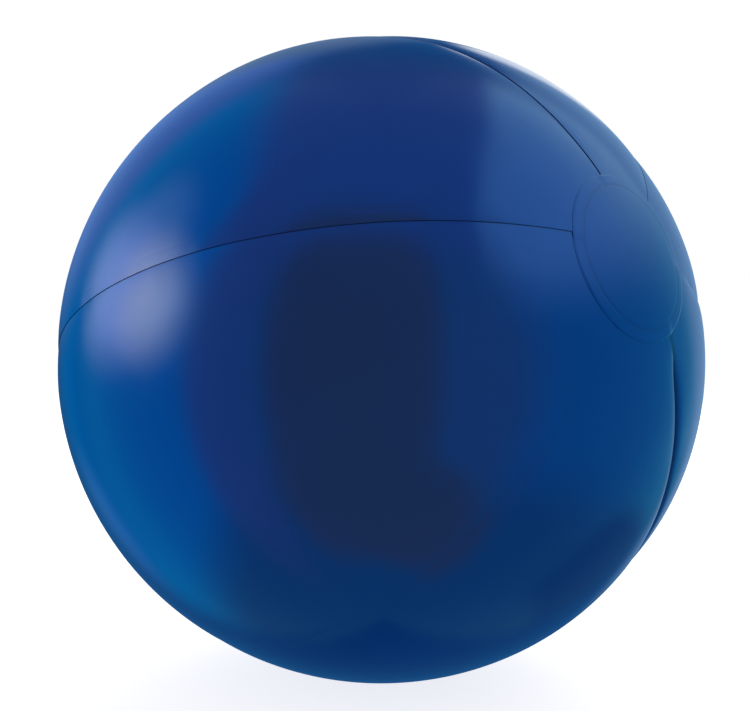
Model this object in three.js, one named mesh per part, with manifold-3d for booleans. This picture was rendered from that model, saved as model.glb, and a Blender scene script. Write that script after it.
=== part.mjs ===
// Inflatable beach ball of welded vinyl film: six gores, two end discs and a push-in blow valve.
// Millimetres, +Z up. The origin is the middle of the flat patch that the ball stands on.
// The poles, where the gores meet, lie off to the side, as they do when such a ball is put down.

import * as THREE from "three";
import { mergeVertices } from "three/addons/utils/BufferGeometryUtils.js";
import Module from "manifold-3d";

const wasm = await Module();
wasm.setup();

// ---- Driving dimensions ----------------------------------------------------------------------

const ballRadius = 152.4; // a 16 inch ball, measured flat, blows up to 12 inches across
const film = 1.0; // drawn wall: the real film is about 0.25 mm
const gap = 0.3; // between pieces that are welded to or rest on each other
const seamDip = 1.4; // how far a weld lies below the crown of the gores beside it
const weldAzimuths = [0, 63.5, 123, 180, 237, 292.5]; // six gores, welded a few degrees off even
const firstWeld = 167.8; // azimuth of the first weld, from the horizontal, anticlockwise
const poleTurn = 44.0; // the front pole, turned from -Y towards +X
const poleTilt = 18.3; // and tilted up
const discTurn = 43.5; // the front disc is welded on a little off the pole
const discTilt = 17.6;
const discRadius = 34.9;
const patchRadius = 18; // flat patch under the ball, at about 0.9 kPa of air

const flangeRadius = 15;
const flangeHole = 9;
const flangeWall = 1.0;
const filmHole = 9.5; // hole in the back gore, over the flange's
const stemRadius = 5.4;
const boreRadius = 3.75;
const rimRadius = 6.3;
const rimTop = 0.8; // above the ball's surface while the stem is pushed in
const rimBottom = -0.2;
const stemEnd = -13.0; // inner end of the stem
const collarRadius = 6.0;
const collarHeight = 1.0;
const diaphragmWall = 0.8;
const strapHinge = 8.0; // from the valve's axis
const strapWidth = 4.6;
const strapThick = 1.0;
const tongueEnd = 10.0;
const capRadius = 6.0;
const capThick = 1.2;
const plugTopRadius = 3.45;
const plugEndRadius = 2.6;
const plugLength = 4.0;
const tabEnd = 10.5;
const flapRadius = 4.6;
const flapThick = 0.7;
const flapHinge = 5.0;

const columnsPerGore = 6;
const rows = 24; // from pole to pole
const roundSides = 32;

// ---- Materials -------------------------------------------------------------------------------

const blueFilm = new THREE.MeshStandardMaterial({ color: 0x0b4a96, roughness: 0.22, metalness: 0 });
const clearVinyl = new THREE.MeshStandardMaterial({ color: 0xcfd8de, roughness: 0.35, metalness: 0 });

// ---- From geometry to solids and back --------------------------------------------------------

function solid(geometry) {
  const bare = geometry.clone();
  bare.deleteAttribute("normal");
  bare.deleteAttribute("uv");
  const merged = mergeVertices(bare, 1e-4);
  return new wasm.Manifold(
    new wasm.Mesh({
      numProp: 3,
      vertProperties: merged.attributes.position.array,
      triVerts: new Uint32Array(merged.index.array),
    }),
  );
}

function geometryOf(shape) {
  const { vertProperties, triVerts } = shape.getMesh();
  const indexed = new THREE.BufferGeometry();
  indexed.setAttribute("position", new THREE.BufferAttribute(vertProperties, 3));
  indexed.setIndex(new THREE.BufferAttribute(triVerts, 1));
  const flat = indexed.toNonIndexed();
  flat.computeVertexNormals();
  return flat;
}

function piece(name, shape, material) {
  const mesh = new THREE.Mesh(geometryOf(shape), material);
  mesh.name = name;
  return mesh;
}

// ---- The inflated skin -----------------------------------------------------------------------

const radians = THREE.MathUtils.degToRad;

// Turns a shape built along +Z so that it points along a pole, and spins it about that pole.
function towards(turn, tilt, spin) {
  return new THREE.Matrix4()
    .makeRotationZ(radians(turn))
    .multiply(new THREE.Matrix4().makeRotationX(Math.PI / 2 - radians(tilt)))
    .multiply(new THREE.Matrix4().makeRotationZ(radians(spin)));
}

const poleFrame = towards(poleTurn, poleTilt, firstWeld);

function goreSpan(gore) {
  const next = gore + 1 < weldAzimuths.length ? weldAzimuths[gore + 1] : 360;
  return [radians(weldAzimuths[gore]), radians(next)];
}

// Radius of the blown-up film: full at a gore's middle, dipping towards its welds.
function filmRadius(polar, across) {
  return ballRadius - seamDip * across ** 2 * Math.sin(polar);
}

// The closed surface that the film follows, moved in by inset.
function envelope(inset) {
  const points = [];
  const faces = [];
  const columns = columnsPerGore * weldAzimuths.length;
  const addPoint = (polar, azimuth, across) => {
    const direction = new THREE.Vector3().setFromSphericalCoords(1, polar, azimuth);
    const place = new THREE.Vector3(direction.z, direction.x, direction.y);
    points.push(...place.multiplyScalar(filmRadius(polar, across) - inset).toArray());
  };
  addPoint(0, 0, 0);
  for (let row = 1; row < rows; row++) {
    for (let gore = 0; gore < weldAzimuths.length; gore++) {
      const [start, end] = goreSpan(gore);
      for (let column = 0; column < columnsPerGore; column++) {
        const share = column / columnsPerGore;
        addPoint((Math.PI * row) / rows, start + (end - start) * share, 2 * share - 1);
      }
    }
  }
  addPoint(Math.PI, 0, 0);
  const last = points.length / 3 - 1;
  const index = (row, column) => 1 + (row - 1) * columns + (column % columns);
  for (let column = 0; column < columns; column++) {
    faces.push(0, index(1, column), index(1, column + 1));
    for (let row = 1; row < rows - 1; row++) {
      const [a, b] = [index(row, column), index(row, column + 1)];
      const [c, d] = [index(row + 1, column), index(row + 1, column + 1)];
      faces.push(a, c, d, a, d, b);
    }
    faces.push(last, index(rows - 1, column + 1), index(rows - 1, column));
  }
  const surface = new THREE.BufferGeometry();
  surface.setAttribute("position", new THREE.Float32BufferAttribute(points, 3));
  surface.setIndex(faces);
  return solid(surface.applyMatrix4(poleFrame));
}

// Cuts a solid flat below a height.
function flattened(shape, height) {
  const side = 4 * ballRadius;
  const below = new THREE.BoxGeometry(side, side, side).translate(0, 0, height - side / 2);
  return shape.subtract(solid(below));
}

const outline = envelope(0);
const lowestFilm = outline.boundingBox().min[2];
const patchSag = ballRadius - Math.sqrt(ballRadius ** 2 - patchRadius ** 2);
const standHeight = -(lowestFilm + patchSag); // of the ball's centre above the ground

function filmSolid(inset) {
  return flattened(envelope(inset), inset - standHeight);
}

const skin = filmSolid(0).subtract(filmSolid(film));

// A round bar from the ball's centre out past the film.
function bar(radius, placing) {
  const length = 2 * ballRadius;
  const geometry = new THREE.CylinderGeometry(radius, radius, length, roundSides);
  geometry.rotateX(Math.PI / 2).translate(0, 0, length / 2);
  return solid(geometry.applyMatrix4(placing));
}

const frontDisc = towards(discTurn, discTilt, 0);
const backDisc = towards(poleTurn, poleTilt, 0).multiply(new THREE.Matrix4().makeRotationX(Math.PI));
const valveAxis = new THREE.Matrix4().makeRotationX(-Math.PI / 2);

// The wedge between two welds, half a gap short of each.
function wedge(gore) {
  const [start, end] = goreSpan(gore);
  const middle = (start + end) / 2;
  const reach = 3 * ballRadius;
  const apex = gap / 2 / Math.sin((end - start) / 2);
  const corner = (azimuth) =>
    new THREE.Vector2(Math.cos(azimuth), Math.sin(azimuth)).multiplyScalar(reach);
  const tip = new THREE.Vector2(Math.cos(middle), Math.sin(middle)).multiplyScalar(apex);
  const sector = new THREE.Shape([tip, corner(start).add(tip), corner(end).add(tip)]);
  const prism = new THREE.ExtrudeGeometry(sector, { depth: 2 * reach, bevelEnabled: false });
  return solid(prism.translate(0, 0, -reach).applyMatrix4(poleFrame));
}

function makeSkin() {
  const group = new THREE.Group();
  const openSkin = skin
    .subtract(bar(discRadius + gap / 2, frontDisc))
    .subtract(bar(discRadius + gap / 2, backDisc))
    .subtract(bar(filmHole, valveAxis));
  for (let gore = 0; gore < weldAzimuths.length; gore++) {
    group.add(piece(`gore_${gore + 1}`, openSkin.intersect(wedge(gore)), blueFilm));
  }
  const disc = (placing) => skin.intersect(bar(discRadius - gap / 2, placing));
  group.add(piece("end_disc_front", disc(frontDisc), blueFilm));
  group.add(piece("end_disc_back", disc(backDisc), blueFilm));
  return group;
}

// ---- The valve -------------------------------------------------------------------------------
// Built along +Z with z = 0 at the ball's surface and the strap towards -X.

function turned(profile) {
  const points = profile.map(([radius, height]) => new THREE.Vector2(radius, height));
  points.push(points[0].clone());
  const geometry = new THREE.LatheGeometry(points, roundSides);
  return solid(geometry.rotateX(Math.PI / 2));
}

function block(fromX, toX, width, fromZ, toZ) {
  const geometry = new THREE.BoxGeometry(toX - fromX, width, toZ - fromZ);
  return solid(geometry.translate((fromX + toX) / 2, 0, (fromZ + toZ) / 2));
}

function disk(radius, fromZ, toZ, x = 0) {
  const geometry = new THREE.CylinderGeometry(radius, radius, toZ - fromZ, roundSides);
  return solid(geometry.rotateX(Math.PI / 2).translate(x, 0, (fromZ + toZ) / 2));
}

const capBottom = rimTop + gap;
const capTop = capBottom + capThick;
const strapBottom = capTop - strapThick;

// The flange follows the film from inside, so it is cut from the ball's own envelope.
function makeFlange() {
  const outer = film + gap;
  const ring = bar(flangeRadius, valveAxis).subtract(bar(flangeHole, valveAxis));
  return envelope(outer).subtract(envelope(outer + flangeWall)).intersect(ring);
}

function makeDiaphragm() {
  const top = -(film + gap + 0.2);
  const outside = flangeHole - gap;
  const inside = collarRadius + gap;
  return turned([
    [outside - diaphragmWall, top],
    [inside, stemEnd],
    [inside + diaphragmWall, stemEnd],
    [outside, top],
  ]);
}

function makeStem() {
  const tube = turned([
    [boreRadius, rimTop],
    [boreRadius, stemEnd],
    [collarRadius, stemEnd],
    [collarRadius, stemEnd + collarHeight],
    [stemRadius, stemEnd + collarHeight],
    [stemRadius, rimBottom],
    [rimRadius, rimBottom],
    [rimRadius, rimTop],
  ]);
  const lugStart = strapHinge + gap / 2;
  const tongue = block(-tongueEnd, -stemRadius, strapWidth, 0, rimTop);
  const lug = block(-tongueEnd, -lugStart, strapWidth, 0, capTop);
  return tube.add(tongue).add(lug);
}

function makeStopper() {
  const tabWidth = 6;
  const cap = disk(capRadius, capBottom, capTop);
  const plugEnd = capBottom - plugLength;
  const plug = turned([
    [0, plugEnd],
    [plugEndRadius, plugEnd],
    [plugTopRadius, capBottom],
    [plugTopRadius, capTop],
    [0, capTop],
  ]);
  const strap = block(-strapHinge + gap / 2, 0, strapWidth, strapBottom, capTop);
  const tab = block(0, tabEnd - tabWidth / 2, tabWidth, strapBottom, capTop);
  const tabTip = disk(tabWidth / 2, strapBottom, capTop, tabEnd - tabWidth / 2);
  return cap.add(plug).add(strap).add(tab).add(tabTip);
}

function makeFlap() {
  const top = stemEnd - gap;
  const flap = disk(flapRadius, top - flapThick, top);
  return flap.add(block(-flapHinge + gap / 2, 0, flapRadius, top - flapThick, top));
}

function makeValve() {
  const group = new THREE.Group();
  group.position.y = ballRadius;
  group.rotation.x = -Math.PI / 2;
  group.add(piece("valve_diaphragm", makeDiaphragm(), clearVinyl));
  group.add(piece("valve_stem", makeStem(), clearVinyl));
  group.add(piece("stopper", makeStopper(), clearVinyl));
  group.add(piece("check_flap", makeFlap(), clearVinyl));
  return group;
}

// ---- The ball --------------------------------------------------------------------------------

const ball = new THREE.Group();
ball.position.z = standHeight;
ball.add(makeSkin());
ball.add(piece("valve_flange", makeFlange(), clearVinyl));
ball.add(makeValve());

export default ball;
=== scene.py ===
"""Looks of the inflatable beach ball: gores of glossy blue film, lapped welds, end discs, blow valve.

Metres, in the CAD's frame: +Z up, the ball stands on z = 0, and the valve points along +Y.
"""

import math

import bmesh
import bpy
import numpy as np
from mathutils import Matrix, Vector


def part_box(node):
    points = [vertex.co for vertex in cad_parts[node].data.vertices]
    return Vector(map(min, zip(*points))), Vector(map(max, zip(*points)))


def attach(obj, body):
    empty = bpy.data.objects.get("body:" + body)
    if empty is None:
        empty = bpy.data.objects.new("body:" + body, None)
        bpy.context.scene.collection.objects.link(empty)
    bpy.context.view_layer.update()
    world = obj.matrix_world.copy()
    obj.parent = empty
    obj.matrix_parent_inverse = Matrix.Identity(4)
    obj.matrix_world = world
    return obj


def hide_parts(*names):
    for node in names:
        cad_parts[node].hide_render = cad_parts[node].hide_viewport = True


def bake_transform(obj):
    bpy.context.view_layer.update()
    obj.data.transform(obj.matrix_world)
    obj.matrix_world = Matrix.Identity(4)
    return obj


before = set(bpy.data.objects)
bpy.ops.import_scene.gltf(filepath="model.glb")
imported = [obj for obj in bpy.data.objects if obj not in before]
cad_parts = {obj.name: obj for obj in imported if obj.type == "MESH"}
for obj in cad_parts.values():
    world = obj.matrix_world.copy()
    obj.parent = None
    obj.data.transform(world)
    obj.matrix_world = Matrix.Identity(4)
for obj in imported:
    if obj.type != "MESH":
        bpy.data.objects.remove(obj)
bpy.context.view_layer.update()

# ---- Driving dimensions, as in the CAD ---------------------------------------------------------

RADIUS = 0.1524
SEAM_DIP = 0.0009
WELDS = np.radians([0, 63.5, 123, 180, 237, 292.5])
FIRST_WELD = 167.8
POLE_TURN, POLE_TILT = 44.0, 18.3
DISC_TURN, DISC_TILT = 43.5, 17.6
DISC_RADIUS = 0.0349

FILM = 0.00025  # real film
LAP_CLEAR = 0.00005  # between lapped films
LAP = 0.005  # how far a film runs on under its neighbour
LAP_STEP = FILM + LAP_CLEAR
LAP_EASE = 0.022  # over which the lower film comes level with the upper one
GORES = len(WELDS)
PUCKER = 0.00010  # small tucks beside the welds
ROLL = 0.00020  # slow unevenness of the blown-up film
BAND_GROOVE, GROOVE_WIDTH = 0.00003, 0.0005  # at the inner edge of a weld band

FILM_HOLE = 0.0095
VALVE_RING = (0.0102, 0.0148)  # where the film is welded down on the valve's flange
RING_HEIGHT = 0.00028
STEM_RADIUS = 0.0054
BORE_RADIUS = 0.00375
RIM_RADIUS = 0.0063
RIM_TOP = 0.0008
RIM_BOTTOM = -0.0002
STEM_END = -0.0130
COLLAR_RADIUS = 0.0060
COLLAR_HEIGHT = 0.0010
CAP_BOTTOM = RIM_TOP + 0.0003
CAP_TOP = CAP_BOTTOM + 0.0012
STRAP_BOTTOM = CAP_TOP - 0.0010
STRAP_HINGE = -0.0080
STRAP_WIDTH = 0.0046

VALVE_GORE = "gore_4"
VALVE_LOW, VALVE_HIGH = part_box("valve_stem")
CENTRE = Vector((0, 0, (VALVE_LOW.z + VALVE_HIGH.z) / 2))

# ---- Directions on the ball --------------------------------------------------------------------


def towards(turn, tilt, spin):
    """Turns a shape built along +Z so that it points along a pole, and spins it about that pole."""
    turned = Matrix.Rotation(math.radians(turn), 3, "Z")
    tilted = Matrix.Rotation(math.pi / 2 - math.radians(tilt), 3, "X")
    return np.array(turned @ tilted @ Matrix.Rotation(math.radians(spin), 3, "Z"))


POLE = towards(POLE_TURN, POLE_TILT, FIRST_WELD)
FRONT_DISC = towards(DISC_TURN, DISC_TILT, 0)
BACK_DISC = towards(POLE_TURN, POLE_TILT, 0) @ np.diag([1.0, -1.0, -1.0])
VALVE = np.array(Matrix.Rotation(-math.pi / 2, 3, "X"))


def smooth(x, low, high):
    """0 below low, 1 above high, and an even curve between them."""
    t = np.clip((x - low) / (high - low), 0, 1)
    return t * t * (3 - 2 * t)


def waves(x, y, scale, seed, count=7):
    """Gentle irregular ripples, from -1 to 1, about scale long."""
    rng = np.random.default_rng(seed)
    total = 0
    for _ in range(count):
        heading, phase = rng.uniform(0, 2 * math.pi, 2)
        number = 2 * math.pi / (scale * rng.uniform(0.7, 1.6))
        total = total + np.sin(number * (x * math.cos(heading) + y * math.sin(heading)) + phase)
    return total / count


def angles(direction):
    """(polar, azimuth) of directions about the weld pole."""
    local = direction @ POLE
    polar = np.arccos(np.clip(local[..., 2], -1, 1))
    return polar, np.arctan2(local[..., 1], local[..., 0]) % (2 * math.pi)


def off_axis(direction, placing):
    """Distance from an axis on the ball's surface, and the angle round it."""
    local = direction @ placing
    away = np.hypot(local[..., 0], local[..., 1]) * RADIUS
    away = np.where(local[..., 2] > 0, away, 2 * RADIUS)
    return away, np.arctan2(local[..., 1], local[..., 0])


# ---- The blown-up film's shape -----------------------------------------------------------------

EDGES = np.append(WELDS, 2 * math.pi)

# One value for each weld. CREVICE_SHADE and CREVICE_WIDTH set the painted shade along each weld's line.
DIP_SHARE = np.array([0.8, 0.4, 1.3, 1.0, 1.0, 1.0])  # of SEAM_DIP
CREASE = [0.00016, 0.00002, 0.0006, 0.0006, 0.0001, 0.00025]  # depth of the narrow valley
CREASE_WIDTH = [0.0026, 0.0025, 0.0035, 0.0030, 0.0030, 0.0030]
CREVICE_SHADE = [0.6, 0.15, 1.0, 0.6, 0.25, 0.55]  # how strongly shade is painted into the line in the valley; also scales the groove at the band's inner edge
CREVICE_WIDTH = [0.0004, 0.0004, 0.0021, 0.0005, 0.0004, 0.0004]
PUCKER_SHARE = [0.8, 0.3, 0.3, 0.8, 0.3, 0.7]  # of PUCKER
STEP_SHARE = np.array([0.85, 0.5, 1.0, 1.0, 0.35, 0.85])  # of LAP_STEP, where welding pressed it flat

FOLD_WELD = 2  # the weld that the next gore bulges past
FOLD, FOLD_WIDTH = 0.0024, 0.0013  # how much deeper its valley is, in a narrow fold


def film_radius(direction):
    """The blown-up film's outer radius in each direction."""
    polar, azimuth = angles(direction)
    gore = np.clip(np.searchsorted(EDGES, azimuth, side="right") - 1, 0, GORES - 1)
    start, end = EDGES[gore], EDGES[gore + 1]
    across = 2 * (azimuth - start) / (end - start) - 1
    nearest = np.where(across < 0, gore, (gore + 1) % GORES)
    lobe = (0.72 * across**2 + 0.28 * np.abs(across) ** 6) * DIP_SHARE[nearest]
    front, _ = off_axis(direction, FRONT_DISC)
    back, _ = off_axis(direction, BACK_DISC)
    open_film = smooth(np.minimum(front, back), 0.95 * DISC_RADIUS, 1.6 * DISC_RADIUS)
    radius = RADIUS - SEAM_DIP * lobe * np.sin(polar) * open_film
    along = polar * RADIUS
    for weld in range(GORES):
        turn = np.abs((azimuth - WELDS[weld] + math.pi) % (2 * math.pi) - math.pi)
        away = turn * np.sin(polar) * RADIUS
        valley = CREASE[weld] * np.exp(-away / CREASE_WIDTH[weld])
        pucker = waves(along, away * 0.3, 0.011, 40 + weld) * np.exp(-away / 0.008)
        pucker = pucker * PUCKER * PUCKER_SHARE[weld]
        if weld == FOLD_WELD:
            run = smooth(along, 0.036, 0.075) * (1 - smooth(along, 0.20, 0.30))
            valley = valley + FOLD * run * np.exp(-away / FOLD_WIDTH)
        radius = radius - open_film * (valley + pucker)
    radius = radius + ROLL * waves(direction[..., 0] * RADIUS, direction[..., 2] * RADIUS, 0.09, 7)
    valve, _ = off_axis(direction, VALVE)
    ring = smooth(valve, VALVE_RING[0], VALVE_RING[0] + 0.0009)
    ring = ring - smooth(valve, VALVE_RING[1] - 0.0009, VALVE_RING[1])
    return radius + RING_HEIGHT * ring


FLAT_BLEND = 0.00035  # how softly the film turns up from the ground


def on_ground(points, lift=0.0):
    """Rests points on the ground, as the film flattens under the ball."""
    z = points[..., 2] - lift
    rested = 0.5 * (z + np.sqrt(z * z + FLAT_BLEND**2)) + lift
    return np.stack([points[..., 0], points[..., 1], np.where(z < 0.02, rested, points[..., 2])], -1)


def place(direction, radius, lift=0.0):
    return on_ground(direction * radius[..., None] + np.array(CENTRE), lift)


# ---- Meshes ------------------------------------------------------------------------------------


def mesh_object(name, points, faces):
    mesh = bpy.data.meshes.new(name)
    mesh.from_pydata([tuple(p) for p in points], [], [tuple(f) for f in faces])
    mesh.update()
    obj = bpy.data.objects.new(name, mesh)
    bpy.context.scene.collection.objects.link(obj)
    return obj


def grid_shell(outer, inner, wrap):
    """Points and faces of a closed sheet between two grids. wrap closes the columns into a ring."""
    rows, columns = outer.shape[:2]
    points = np.concatenate([outer.reshape(-1, 3), inner.reshape(-1, 3)])
    index = np.arange(rows * columns).reshape(rows, columns)
    if wrap:
        index = np.concatenate([index, index[:, :1]], 1)
    a, b = index[:-1, :-1].ravel(), index[:-1, 1:].ravel()
    c, d = index[1:, 1:].ravel(), index[1:, :-1].ravel()
    below = rows * columns
    faces = [np.stack([a, d, c, b], 1), np.stack([a, b, c, d], 1) + below]
    rims = [index[0], index[-1][::-1]]
    if not wrap:
        rims += [index[::-1, 0], index[:, -1]]
    for rim in rims:
        faces.append(np.stack([rim[:-1], rim[1:], rim[1:] + below, rim[:-1] + below], 1))
    return points, np.concatenate(faces)


def graded(low, high, coarse, centre=None, fine=None, reach=None):
    """Positions from low to high, about coarse apart, and fine apart within reach of centre."""
    trial = np.linspace(low, high, 4001)
    spacing = np.full(trial.shape, coarse)
    if centre is not None:
        near = smooth(np.abs(trial - centre), reach, 1.6 * reach)
        spacing = fine + (coarse - fine) * near
    steps = np.concatenate([[0], np.cumsum(np.diff(trial) / spacing[:-1])])
    return np.interp(np.linspace(0, steps[-1], round(steps[-1]) + 1), steps, trial)


# Fine steps beside a weld, finest at its line and at the inner edge of its band.
NEAR = np.array([0.0, 0.2, 0.4, 0.6, 0.85, 1.2, 1.7, 2.3, 3.0, 3.8])
NEAR = np.append(NEAR, [4.5, 4.8, 5.1, 5.5, 6.4, 7.6, 9.0, 10.6, 12.4, 14.4]) / 1000
ROW_STEP = 0.0016
MIDDLE_STEP = 0.003
FINE_STEP = 0.0008
FINE_REACH = 0.0165  # round the valve
VALVE_GORE_WIDTH = 0.1  # roughly, level with the valve


def gore_mesh(gore):
    """A gore from weld to weld, and on by a lap's width under the gore before it."""
    start, end = EDGES[gore], EDGES[gore + 1]
    edge = math.asin((DISC_RADIUS - LAP) / RADIUS)
    valve_polar, valve_azimuth = angles(np.array([0.0, 1.0, 0.0]))
    has_valve = start < valve_azimuth < end
    fine = (valve_polar, FINE_STEP / RADIUS, FINE_REACH / RADIUS) if has_valve else ()
    polar = graded(edge, math.pi - edge, ROW_STEP / RADIUS, *fine)
    around = np.sin(polar) * RADIUS
    width = (end - start) * around
    inner = NEAR[-1]
    widest = (end - start) * RADIUS - 2 * inner
    valve_share = (valve_azimuth - start) / (end - start)
    fine = (valve_share, FINE_STEP / VALVE_GORE_WIDTH, FINE_REACH / VALVE_GORE_WIDTH) if has_valve else ()
    share = graded(0, 1, MIDDLE_STEP / widest, *fine)[1:-1]
    left = np.repeat(NEAR[None], len(width), 0)
    middle = inner + (width[:, None] - 2 * inner) * share
    right = width[:, None] - left[:, ::-1]
    under = np.repeat(np.linspace(-LAP, -0.0003, 6)[None], len(polar), 0)
    across = np.concatenate([under, left, middle, right], 1)
    azimuth = start + across / around[:, None]
    azimuth[:, -1] = end
    polars = np.repeat(polar[:, None], across.shape[1], 1)
    local = np.stack(
        [np.sin(polars) * np.cos(azimuth), np.sin(polars) * np.sin(azimuth), np.cos(polars)], -1
    )
    direction = local @ POLE.T
    from_end = width[:, None] - across
    after = (gore + 1) % GORES
    band_edge = BAND_GROOVE * CREVICE_SHADE[after] * np.exp(-(((from_end - LAP) / GROOVE_WIDTH) ** 2))
    under_lap = LAP_STEP * STEP_SHARE[gore] * (1 - smooth(across, 0, LAP_EASE))
    radius = film_radius(direction) - under_lap - band_edge
    outer = place(direction, radius)
    inner_face = place(direction, radius - FILM, FILM)
    uneven = np.clip(0.75 + 0.9 * waves(polars * RADIUS, 0.0, 0.07, 60 + gore), 0.2, 1)
    # Painted shade: dark along each weld's line in its valley, and on the cut end of the film that laps
    # over it.
    painted_shade = CREVICE_SHADE[gore] * np.exp(-((np.maximum(across, 0) / CREVICE_WIDTH[gore]) ** 2))
    painted_shade = painted_shade * (1 if gore == FOLD_WELD else uneven)
    lip = CREVICE_SHADE[after] * np.exp(-((from_end / (CREVICE_WIDTH[after] / 4)) ** 2))
    painted_shade = np.maximum(painted_shade, lip)
    return (*grid_shell(outer, inner_face, False), np.tile(painted_shade.ravel(), 2))


def disc_mesh(placing):
    """A round sheet: rings of points about a middle one, outer face first, then the inner face."""
    rings = np.concatenate([np.linspace(0.0008, 0.025, 30), np.linspace(0.0256, DISC_RADIUS, 42)])
    spokes = np.linspace(0, 2 * math.pi, 200, endpoint=False)
    away, turn = np.meshgrid(rings, spokes, indexing="ij")
    tilt = np.arcsin(away / RADIUS)
    local = np.stack([np.sin(tilt) * np.cos(turn), np.sin(tilt) * np.sin(turn), np.cos(tilt)], -1)
    direction = local @ placing.T
    groove = 2 * BAND_GROOVE * np.exp(-(((away - (DISC_RADIUS - LAP)) / GROOVE_WIDTH) ** 2))
    polar, azimuth = angles(direction)
    weld = np.clip(np.searchsorted(EDGES, azimuth, side="right") - 1, 0, GORES - 1)
    past = (azimuth - EDGES[weld]) * np.sin(polar) * RADIUS
    lower = LAP_STEP * STEP_SHARE[weld] * smooth(past, 0, 0.004) * (1 - smooth(past, 0, LAP_EASE))
    lower = lower * smooth(away, DISC_RADIUS - 0.008, DISC_RADIUS)
    step = LAP_STEP * (0.4 + 0.6 * smooth(DISC_RADIUS - away, 0, 0.0010))
    radius = film_radius(direction) + step - lower - groove
    points, faces = grid_shell(place(direction, radius), place(direction, radius - FILM), True)
    below = rings.size * len(spokes)
    faces = [tuple(face) for face in faces if not is_hub_wall(face, len(spokes), below)]
    for first, step in ((0, 1), (below, -1)):
        ring = list(range(first, first + len(spokes)))[::step]
        hub = len(points)
        points = np.vstack([points, points[ring].mean(0)])
        faces += [(hub, ring[k], ring[(k + 1) % len(ring)]) for k in range(len(ring))]
    # Painted shade along the groove at the band's inner edge and at the disc's rim, in the same attribute
    # as the weld lines.
    shade = 0.22 * np.exp(-(((away - (DISC_RADIUS - LAP)) / 0.0007) ** 2))
    shade = shade + 0.20 * np.exp(-(((DISC_RADIUS - away) / 0.0004) ** 2))
    return points, faces, np.append(np.tile(shade.ravel(), 2), [0, 0])


def is_hub_wall(face, spokes, below):
    """Whether a face joins the innermost ring of one side to that of the other."""
    return all(corner % below < spokes for corner in face)


# ---- Materials ---------------------------------------------------------------------------------


def new_material(name):
    material = bpy.data.materials.new(name)
    material.use_nodes = True
    nodes = material.node_tree.nodes
    links = material.node_tree.links
    return material, nodes, links, nodes["Principled BSDF"]


def noise(nodes, links, scale, detail, stretch=(1, 1, 1)):
    place_of = nodes.new("ShaderNodeTexCoord")
    mapping = nodes.new("ShaderNodeMapping")
    mapping.inputs["Scale"].default_value = stretch
    texture = nodes.new("ShaderNodeTexNoise")
    texture.inputs["Scale"].default_value = scale
    texture.inputs["Detail"].default_value = detail
    links.new(place_of.outputs["Object"], mapping.inputs["Vector"])
    links.new(mapping.outputs["Vector"], texture.inputs["Vector"])
    return texture.outputs["Fac"]


def ramp(nodes, links, value, *stops):
    """A colour ramp on value, with stops of (position, colour)."""
    node = nodes.new("ShaderNodeValToRGB")
    for element, (position, colour) in zip(node.color_ramp.elements, stops):
        element.position = position
        element.color = (*colour, 1)
    links.new(value, node.inputs["Fac"])
    return node.outputs["Color"]


def bump(nodes, links, shader, heights):
    """Chains bumps of (height, strength, distance) into the shader's normal."""
    normal = None
    for height, strength, distance in heights:
        node = nodes.new("ShaderNodeBump")
        node.inputs["Strength"].default_value = strength
        node.inputs["Distance"].default_value = distance
        links.new(height, node.inputs["Height"])
        if normal:
            links.new(normal, node.inputs["Normal"])
        normal = node.outputs["Normal"]
    links.new(normal, shader.inputs["Normal"])


def film_material():
    """Glossy blue PVC: a slightly cloudy colour, with painted shade along the welds' crevices, and faint
    rub marks.
    """
    material, nodes, links, shader = new_material("blue_film")
    shader.inputs["Metallic"].default_value = 0.55
    shader.inputs["Coat Weight"].default_value = 0.5
    shader.inputs["Coat Roughness"].default_value = 0.06
    cloud = noise(nodes, links, 14, 5)
    tone = ramp(nodes, links, cloud, (0.3, (0.0, 0.076, 0.37)), (0.7, (0.0, 0.088, 0.41)))
    # Painted shade: the weld crevices' point attribute mixes the colour towards dark navy.
    painted_shade = nodes.new("ShaderNodeAttribute")
    painted_shade.attribute_name = "painted_shade"
    dark = nodes.new("ShaderNodeMix")
    dark.data_type = "RGBA"
    links.new(painted_shade.outputs["Fac"], dark.inputs["Factor"])
    links.new(tone, dark.inputs["A"])
    dark.inputs["B"].default_value = (0.0, 0.015, 0.09, 1)
    links.new(dark.outputs["Result"], shader.inputs["Base Color"])
    scuffs = noise(nodes, links, 60, 6, (1, 1, 0.35))
    rough = ramp(nodes, links, scuffs, (0.35, (0.18, 0.18, 0.18)), (0.8, (0.25, 0.25, 0.25)))
    links.new(rough, shader.inputs["Roughness"])
    ripple = noise(nodes, links, 38, 2)
    grain = noise(nodes, links, 900, 3)
    bump(nodes, links, shader, [(ripple, 0.12, 0.0006), (grain, 0.05, 0.00004)])
    return material


def valve_material():
    """Milky soft vinyl, moulded: a little light comes through, with a fine matt grain."""
    material, nodes, links, shader = new_material("valve_vinyl")
    cloud = noise(nodes, links, 160, 4)
    tone = ramp(nodes, links, cloud, (0.3, (0.60, 0.66, 0.70)), (0.75, (0.70, 0.75, 0.78)))
    links.new(tone, shader.inputs["Base Color"])
    shader.inputs["Subsurface Weight"].default_value = 0.35
    shader.inputs["Subsurface Radius"].default_value = (0.8, 0.9, 1.0)
    shader.inputs["Subsurface Scale"].default_value = 0.0012
    scuffs = noise(nodes, links, 420, 5)
    rough = ramp(nodes, links, scuffs, (0.3, (0.26, 0.26, 0.26)), (0.8, (0.42, 0.42, 0.42)))
    links.new(rough, shader.inputs["Roughness"])
    bump(nodes, links, shader, [(noise(nodes, links, 2600, 3), 0.10, 0.00003)])
    return material


# ---- The valve's shapes ------------------------------------------------------------------------
# Built along +Z with z = 0 at the ball's surface and the strap towards -X, then turned to +Y.

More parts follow.
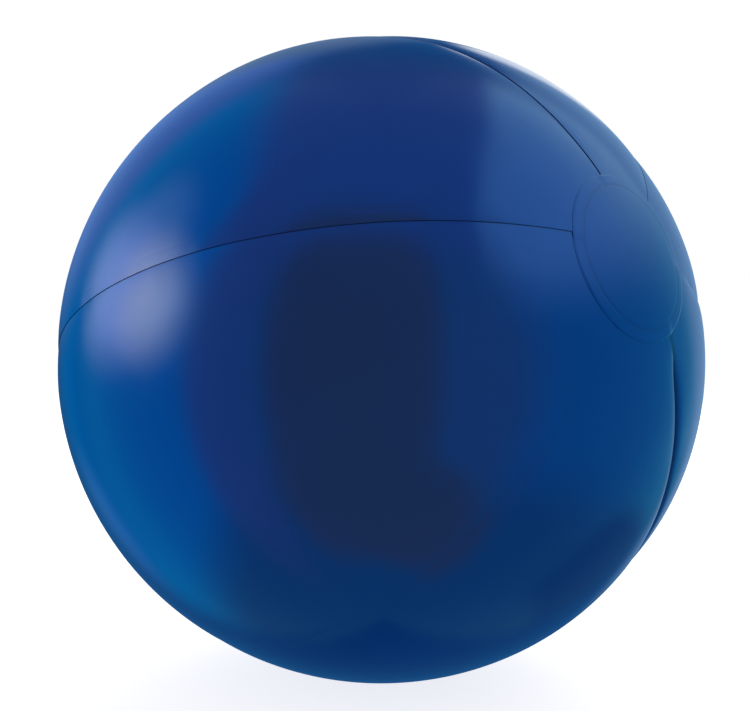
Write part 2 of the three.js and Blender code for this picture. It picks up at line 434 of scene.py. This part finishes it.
VALVE_FOOT = CENTRE + Vector((0, RADIUS, 0))
VALVE_PLACE = Matrix.Translation(VALVE_FOOT) @ Matrix.Rotation(-math.pi / 2, 4, "X")
FLANGE_TOP = -(FILM + 0.0001)  # the flange lies straight under the film
FLANGE_HOLE, FLANGE_RADIUS, FLANGE_WALL = 0.0090, 0.0150, 0.0010
CUFF_WALL = 0.0006
CUFF_END = 0.00635  # its middle radius, where it meets the stem's collar
TURNS = 96  # steps round a turned shape


def filleted(profile):
    """Points of a closed outline of (radius, height, fillet), with its corners rounded."""
    points = []
    for (x0, z0, _), (x1, z1, fillet), (x2, z2, _) in zip(
        profile[-1:] + profile[:-1], profile, profile[1:] + profile[:1]
    ):
        corner, before, after = Vector((x1, z1)), Vector((x0, z0)), Vector((x2, z2))
        back, ahead = (before - corner).normalized(), (after - corner).normalized()
        if not fillet:
            points.append(corner)
            continue
        half = back.angle(ahead) / 2
        reach = fillet / math.tan(half)
        middle = corner + (back + ahead).normalized() * fillet / math.sin(half)
        first, last = corner + back * reach - middle, corner + ahead * reach - middle
        for step in range(6):
            points.append(middle + first.slerp(last, step / 5) * fillet)  # slerp gives unit vectors
    return points


def turned(profile):
    """A closed body of revolution. Outline points on the axis become a single point."""
    shape = bmesh.new()
    rings = []
    for radius, height in filleted(profile):
        if radius < 1e-7:
            rings.append([shape.verts.new((0, 0, height))])
            continue
        angle = [2 * math.pi * k / TURNS for k in range(TURNS)]
        ring = [(radius * math.cos(a), radius * math.sin(a), height) for a in angle]
        rings.append([shape.verts.new(corner) for corner in ring])
    for ring, following in zip(rings, rings[1:] + rings[:1]):
        if len(ring) == len(following) == 1:
            continue
        for k in range(TURNS):
            corners = [ring[k % len(ring)], ring[(k + 1) % len(ring)],
                       following[(k + 1) % len(following)], following[k % len(following)]]
            shape.faces.new(list(dict.fromkeys(corners)))
    bmesh.ops.recalc_face_normals(shape, faces=shape.faces)
    return shape


def slab(low_x, high_x, width, corner, low_z, high_z, edge):
    """A flat bar with rounded plan corners and rounded edges."""
    shape = bmesh.new()
    rings = []
    turns = np.linspace(0, math.pi / 2, 6)
    levels = [(edge * (1 - math.sin(t)), low_z + edge * (1 - math.cos(t))) for t in turns]
    levels += [(edge * (1 - math.sin(t)), high_z - edge * (1 - math.cos(t))) for t in turns[::-1]]
    for inset, height in levels:
        ring = []
        bend = max(corner - inset, 0.00002)
        for quarter in range(4):
            side_x = high_x - inset - bend if quarter in (0, 3) else low_x + inset + bend
            side_y = (width / 2 - inset - bend) * (1 if quarter < 2 else -1)
            for step in range(7):
                angle = math.pi / 2 * (quarter + step / 6)
                ring.append(shape.verts.new(
                    (side_x + bend * math.cos(angle), side_y + bend * math.sin(angle), height)))
        rings.append(ring)
    for ring, following in zip(rings, rings[1:]):
        for k in range(len(ring)):
            after = (k + 1) % len(ring)
            shape.faces.new((ring[k], ring[after], following[after], following[k]))
    shape.faces.new(rings[0][::-1])
    shape.faces.new(rings[-1])
    bmesh.ops.recalc_face_normals(shape, faces=shape.faces)
    return shape


def as_object(name, shape):
    mesh = bpy.data.meshes.new(name)
    shape.to_mesh(mesh)
    shape.free()
    obj = bpy.data.objects.new(name, mesh)
    bpy.context.scene.collection.objects.link(obj)
    return obj


def combined(target, other, operation):
    """Joins or cuts target by another object, which is used up."""
    modifier = target.modifiers.new(operation, "BOOLEAN")
    modifier.operation = operation
    modifier.solver = "EXACT"
    modifier.object = other
    bpy.context.view_layer.update()
    evaluated = target.evaluated_get(bpy.context.evaluated_depsgraph_get())
    result = bpy.data.meshes.new_from_object(evaluated)
    target.modifiers.clear()
    target.data = result
    bpy.data.objects.remove(other)
    return target


def finished_smooth(obj, sharp_degrees=35):
    mesh = obj.data
    mesh.polygons.foreach_set("use_smooth", [True] * len(mesh.polygons))
    mesh.set_sharp_from_angle(angle=math.radians(sharp_degrees))
    return obj


def sphere_drop(radius):
    """How far the ball's surface lies below its top at a distance from the valve's axis."""
    return math.sqrt(RADIUS**2 - radius**2) - RADIUS


def flange_shape():
    """A moulded ring that follows the ball's curve under the film."""
    radii = np.linspace(FLANGE_HOLE, FLANGE_RADIUS, 9)
    top = [(r, FLANGE_TOP + sphere_drop(r), 0) for r in radii]
    bottom = [(r, FLANGE_TOP + sphere_drop(r) - FLANGE_WALL, 0) for r in radii[::-1]]
    for outline in (top, bottom):
        outline[0] = (*outline[0][:2], 0.00025)
        outline[-1] = (*outline[-1][:2], 0.00025)
    return turned(top + bottom)


def diaphragm_shape():
    """The rolling cuff, one moulding with the flange, which runs to the stem's inner end."""
    outer_top = FLANGE_TOP - 0.0006
    half = CUFF_WALL / 2
    start = FLANGE_HOLE + 0.00003 - half  # bites a little into the flange
    steps = np.linspace(0, 1, 25)
    fall = np.sin(steps * math.pi / 2) ** 2
    middle = [(start + (CUFF_END - start) * share, outer_top + (STEM_END - outer_top) * step)
              for step, share in zip(steps, fall)]
    outer = [(r + half, z, 0) for r, z in middle]
    inner = [(r - half, z, 0) for r, z in middle[::-1]]
    return turned(outer + inner)


def stem_object():
    """Blow tube with its rim and inner collar, and the tongue and lug that carry the stopper's strap."""
    tube = as_object("blow_stem", turned([
        (BORE_RADIUS, RIM_TOP, 0.0004),
        (BORE_RADIUS, STEM_END, 0.0003),
        (COLLAR_RADIUS, STEM_END, 0.0003),
        (COLLAR_RADIUS, STEM_END + COLLAR_HEIGHT, 0.0003),
        (STEM_RADIUS, STEM_END + COLLAR_HEIGHT, 0.0002),
        (STEM_RADIUS, RIM_BOTTOM, 0.0002),
        (RIM_RADIUS, RIM_BOTTOM, 0.0003),
        (RIM_RADIUS, RIM_TOP, 0.0004),
    ]))
    tongue = slab(-0.0100, -STEM_RADIUS + 0.0004, STRAP_WIDTH, 0.0006, 0.0, RIM_TOP, 0.0002)
    lug = slab(-0.0100, STRAP_HINGE - 0.00015, STRAP_WIDTH, 0.0005, 0.0001, CAP_TOP, 0.0003)
    combined(tube, as_object("tongue", tongue), "UNION")
    return combined(tube, as_object("lug", lug), "UNION")


def stopper_object():
    """Tapered plug under a dished cap, with the strap on one side and a ribbed pull tab on the other."""
    plug_end = CAP_BOTTOM - 0.0040
    cap = as_object("valve_stopper", turned([
        (0.0, plug_end, 0),
        (0.0026, plug_end, 0.0004),
        (0.00345, CAP_BOTTOM, 0.0002),
        (0.0060, CAP_BOTTOM, 0.0003),
        (0.0060, CAP_TOP, 0.0005),
        (0.0044, CAP_TOP, 0.0002),
        (0.0041, CAP_TOP - 0.0004, 0.0002),
        (0.0, CAP_TOP - 0.0004, 0),
    ]))
    strap_top = CAP_TOP - 0.0001
    strap = slab(STRAP_HINGE + 0.00015, -0.0048, STRAP_WIDTH, 0.0004, STRAP_BOTTOM, strap_top, 0.0003)
    tab = slab(0.0048, 0.0105, 0.0060, 0.0028, STRAP_BOTTOM, CAP_TOP - 0.0002, 0.0003)
    combined(cap, as_object("strap", strap), "UNION")
    combined(cap, as_object("tab", tab), "UNION")
    for rib in range(3):
        x = 0.0070 + 0.0011 * rib
        ridge = slab(x, x + 0.0005, 0.0036, 0.0002, CAP_TOP - 0.0006, CAP_TOP, 0.00018)
        combined(cap, as_object("rib", ridge), "UNION")
    return cap


def flap_object():
    """A soft disc that closes the tube's inner end, with the ear that it hinges on."""
    top = STEM_END - 0.0003
    disk = as_object("non_return_flap", turned([
        (0.0, top - 0.0007, 0),
        (0.0046, top - 0.0007, 0.0002),
        (0.0046, top, 0.0002),
        (0.0, top, 0),
    ]))
    ear = slab(-0.00485, 0.0, 0.0040, 0.0003, top - 0.00068, top - 0.00002, 0.0002)
    return combined(disk, as_object("ear", ear), "UNION")


# ---- The object --------------------------------------------------------------------------------

BLUE = film_material()
CLEAR = valve_material()


def film_piece(name, node, points, faces, painted_shade):
    piece = mesh_object(name, points, faces)
    # Carries the painted shade of the weld lines to the film material.
    shade = piece.data.attributes.new("painted_shade", "FLOAT", "POINT")
    shade.data.foreach_set("value", painted_shade)
    if node == VALVE_GORE:
        cutter = turned([(0, -0.01, 0), (FILM_HOLE, -0.01, 0), (FILM_HOLE, 0.01, 0), (0, 0.01, 0)])
        cutter = as_object("hole", cutter)
        cutter.data.transform(VALVE_PLACE)
        combined(piece, cutter, "DIFFERENCE")
    finished_smooth(piece)
    piece.data.materials.clear()
    piece.data.materials.append(BLUE)
    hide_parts(node)
    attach(piece, "ball")
    return piece


def valve_piece(piece, node, body):
    piece.data.transform(VALVE_PLACE)
    finished_smooth(piece)
    piece.data.materials.clear()
    piece.data.materials.append(CLEAR)
    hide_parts(node)
    if body:
        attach(piece, body)
    return piece


for gore in range(GORES):
    film_piece(f"film_gore_{gore + 1}", f"gore_{gore + 1}", *gore_mesh(gore))
film_piece("film_disc_front", "end_disc_front", *disc_mesh(FRONT_DISC))
film_piece("film_disc_back", "end_disc_back", *disc_mesh(BACK_DISC))

valve_piece(as_object("welded_flange", flange_shape()), "valve_flange", "ball")
valve_piece(stem_object(), "valve_stem", "valve_stem")
valve_piece(stopper_object(), "stopper", "stopper")
valve_piece(flap_object(), "check_flap", "check_flap")
cuff = valve_piece(as_object("valve_cuff", diaphragm_shape()), "valve_diaphragm", None)
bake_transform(cuff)

# The thin web that the stopper's strap bends at.
web = slab(-0.0087, -0.0073, 0.0038, 0.0002, CAP_TOP - 0.0005, CAP_TOP - 0.00012, 0.00012)
web = as_object("strap_web", web)
web.data.transform(VALVE_PLACE)
finished_smooth(web)
web.data.materials.append(CLEAR)
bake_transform(web)

# ---- Studio ------------------------------------------------------------------------------------


CAMERA_DISTANCE = 3.36 * RADIUS
CAMERA_RAISED = math.radians(3)
LENS, SENSOR = 50.0, 36
SHIFT = (-0.00787, 0.00427)  # the ball stands a little off the frame's middle


def make_camera():
    camera = bpy.data.objects.new("camera", bpy.data.cameras.new("camera"))
    bpy.context.scene.collection.objects.link(camera)
    camera.data.lens = LENS
    camera.data.sensor_width = SENSOR
    camera.data.shift_x, camera.data.shift_y = SHIFT
    back = Vector((0, -math.cos(CAMERA_RAISED), math.sin(CAMERA_RAISED)))
    camera.location = CENTRE + back * CAMERA_DISTANCE
    camera.rotation_euler = (-back).to_track_quat("-Z", "Y").to_euler()
    bpy.context.scene.camera = camera


WHITE = (1, 1, 1)
FILL = 0.33  # radiance that matt surfaces are lit by, from all round
FLOOR_GLOW = 0.8  # keeps the floor white, with a faint shadow

# What the glossy film mirrors, each painted over the ones before it: azimuth from -Y towards +X,
# elevation, half width, half height, lean, softness of the edge, squareness, colour.
CARDS = {
    "ceiling": (0, 90, 400, 60, 0, 0.40, 3, (0.17, 0.25, 0.47)),
    "left_wall": (-111, 5, 64, 57, 0, 0.30, 2.4, (0.01, 0.48, 0.82)),
    "left_end": (-138, -8, 18, 30, 0, 1.00, 2, (0.0, 0.27, 0.66)),
    "left_glow": (-141, -25, 10, 10, 0, 1.00, 2, (0.06, 0.36, 0.84)),
    "left_shade": (-53, 0, 14, 60, 0, 0.80, 3, (0.20, 0.23, 0.41)),
    "right_window": (99, 22, 61, 42, 0, 0.14, 2.6, (0.46, 0.79, 0.94)),
    "right_wall": (62, -6, 90, 28, 0, 0.90, 4, (0.035, 0.36, 0.57)),
    "right_floor": (128, -40, 24, 13, 0.25, 0.50, 3, (0.03, 0.13, 0.27)),
    "right_shade": (32, -8, 20, 48, 0, 1.20, 2, (0.15, 0.25, 0.36)),
    "dark_room": (-9, -8, 29, 56, 0, 0.26, 5, (0.22, 0.15, 0.12)),
    "dark_floor": (4, -46, 42, 20, -0.20, 0.40, 2.6, (0.22, 0.15, 0.11)),
    "behind": (180, -24, 38, 90, 0, 0.60, 3, (0.016, 0.115, 0.31)),
    "right_end": (152, 9, 18, 31, 0, 0.60, 2, (0.21, 0.41, 0.66)),
    "high_behind": (-151, 27, 22, 23, 0, 0.70, 2, (0.15, 0.32, 0.74)),
    "high_end": (-172, 27, 10, 16, 0, 1.00, 2, (0.15, 0.26, 0.43)),
    "softbox_top": (-96, 32, 14, 9, 0, 1.30, 2, (0.30, 0.78, 1.05)),
    "softbox_glow": (-102, 14, 17, 12, 0, 1.40, 2, (1.30, 1.52, 1.78)),
    "softbox": (-86, 15, 13, 11, 0, 1.70, 2, (3.3, 2.45, 1.65)),
    "rim_light": (167, 22, 6, 9, 0, 0.80, 2, (1.0, 1.1, 1.2)),
}


def make_floor():
    floor = mesh_object("floor", [(-6, -6, 0), (6, -6, 0), (6, 6, 0), (-6, 6, 0)], [(0, 1, 2, 3)])
    floor.location.z = -0.0001
    material, _, _, shader = new_material("floor")
    shader.inputs["Base Color"].default_value = (0.85, 0.85, 0.85, 1)
    shader.inputs["Roughness"].default_value = 1.0
    shader.inputs["Specular IOR Level"].default_value = 0.0
    shader.inputs["Emission Color"].default_value = (*WHITE, 1)
    shader.inputs["Emission Strength"].default_value = FLOOR_GLOW
    floor.data.materials.append(material)
    floor.visible_glossy = False
    floor.visible_diffuse = False


class NodeMaths:
    """Short calls for chains of math nodes."""

    def __init__(self, tree):
        self.tree = tree

    def math(self, operation, *values):
        node = self.tree.nodes.new("ShaderNodeMath")
        node.operation = operation
        for socket, value in zip(node.inputs, values):
            self.give(socket, value)
        return node.outputs[0]

    def smoothstep(self, value, low, high):
        node = self.tree.nodes.new("ShaderNodeMapRange")
        node.interpolation_type = "SMOOTHSTEP"
        for name, given in (("Value", value), ("From Min", low), ("From Max", high)):
            self.give(node.inputs[name], given)
        return node.outputs[0]

    def mix(self, share, first, second):
        node = self.tree.nodes.new("ShaderNodeMix")
        node.data_type = "RGBA"
        for index, given in ((0, share), (6, first), (7, second)):
            self.give(node.inputs[index], given)
        return node.outputs[2]

    def give(self, socket, value):
        if isinstance(value, bpy.types.NodeSocket):
            self.tree.links.new(value, socket)
        else:
            socket.default_value = value


def make_world():
    """White to the camera, an even fill for matt surfaces, and the cards for mirrored rays."""
    world = bpy.data.worlds.new("studio")
    world.use_nodes = True
    tree = world.node_tree
    maths = NodeMaths(tree)
    split = tree.nodes.new("ShaderNodeSeparateXYZ")
    tree.links.new(tree.nodes.new("ShaderNodeTexCoord").outputs["Generated"], split.inputs[0])
    x, y, z = split.outputs
    forward = maths.math("MULTIPLY", y, -1.0)
    azimuth = maths.math("DEGREES", maths.math("ARCTAN2", x, forward))
    elevation = maths.math("DEGREES", maths.math("ARCSINE", z))
    mirrored = (0.05, 0.22, 0.33, 1)
    for turn, tilt, wide, high, lean, soft, squareness, colour in CARDS.values():
        beside = maths.math("WRAP", maths.math("SUBTRACT", azimuth, float(turn)), 180.0, -180.0)
        level = maths.math("MULTIPLY_ADD", beside, float(lean), float(tilt))
        above = maths.math("SUBTRACT", elevation, level)
        shares = [maths.math("DIVIDE", maths.math("ABSOLUTE", offset), float(half))
                  for offset, half in ((beside, wide), (above, high))]
        powers = [maths.math("POWER", share, float(squareness)) for share in shares]
        away = maths.math("POWER", maths.math("ADD", *powers), 1 / squareness)
        inside = maths.smoothstep(away, 1.0 + soft / 2, 1.0 - soft / 2)
        mirrored = maths.mix(inside, mirrored, (*colour, 1))
    path = tree.nodes.new("ShaderNodeLightPath")
    fill = (FILL, FILL, FILL, 1)
    light = maths.mix(path.outputs["Is Glossy Ray"], fill, mirrored)
    light = maths.mix(path.outputs["Is Camera Ray"], light, (*WHITE, 1))
    tree.links.new(light, tree.nodes["Background"].inputs["Color"])
    bpy.context.scene.world = world


def make_back_light():
    """A soft lamp for the matt shading of the valve's side. It isn't mirrored."""
    lamp = bpy.data.lights.new("back_light", "AREA")
    lamp.size = 1.0
    lamp.energy = 8
    back_light = bpy.data.objects.new("back_light", lamp)
    back_light.location = (0.3, 1.2, 0.7)
    back_light.rotation_euler = (CENTRE - back_light.location).to_track_quat("-Z", "Y").to_euler()
    back_light.visible_glossy = False
    back_light.visible_camera = False
    bpy.context.scene.collection.objects.link(back_light)


make_camera()
make_floor()
make_world()
make_back_light()
bpy.context.scene.view_settings.view_transform = "Standard"
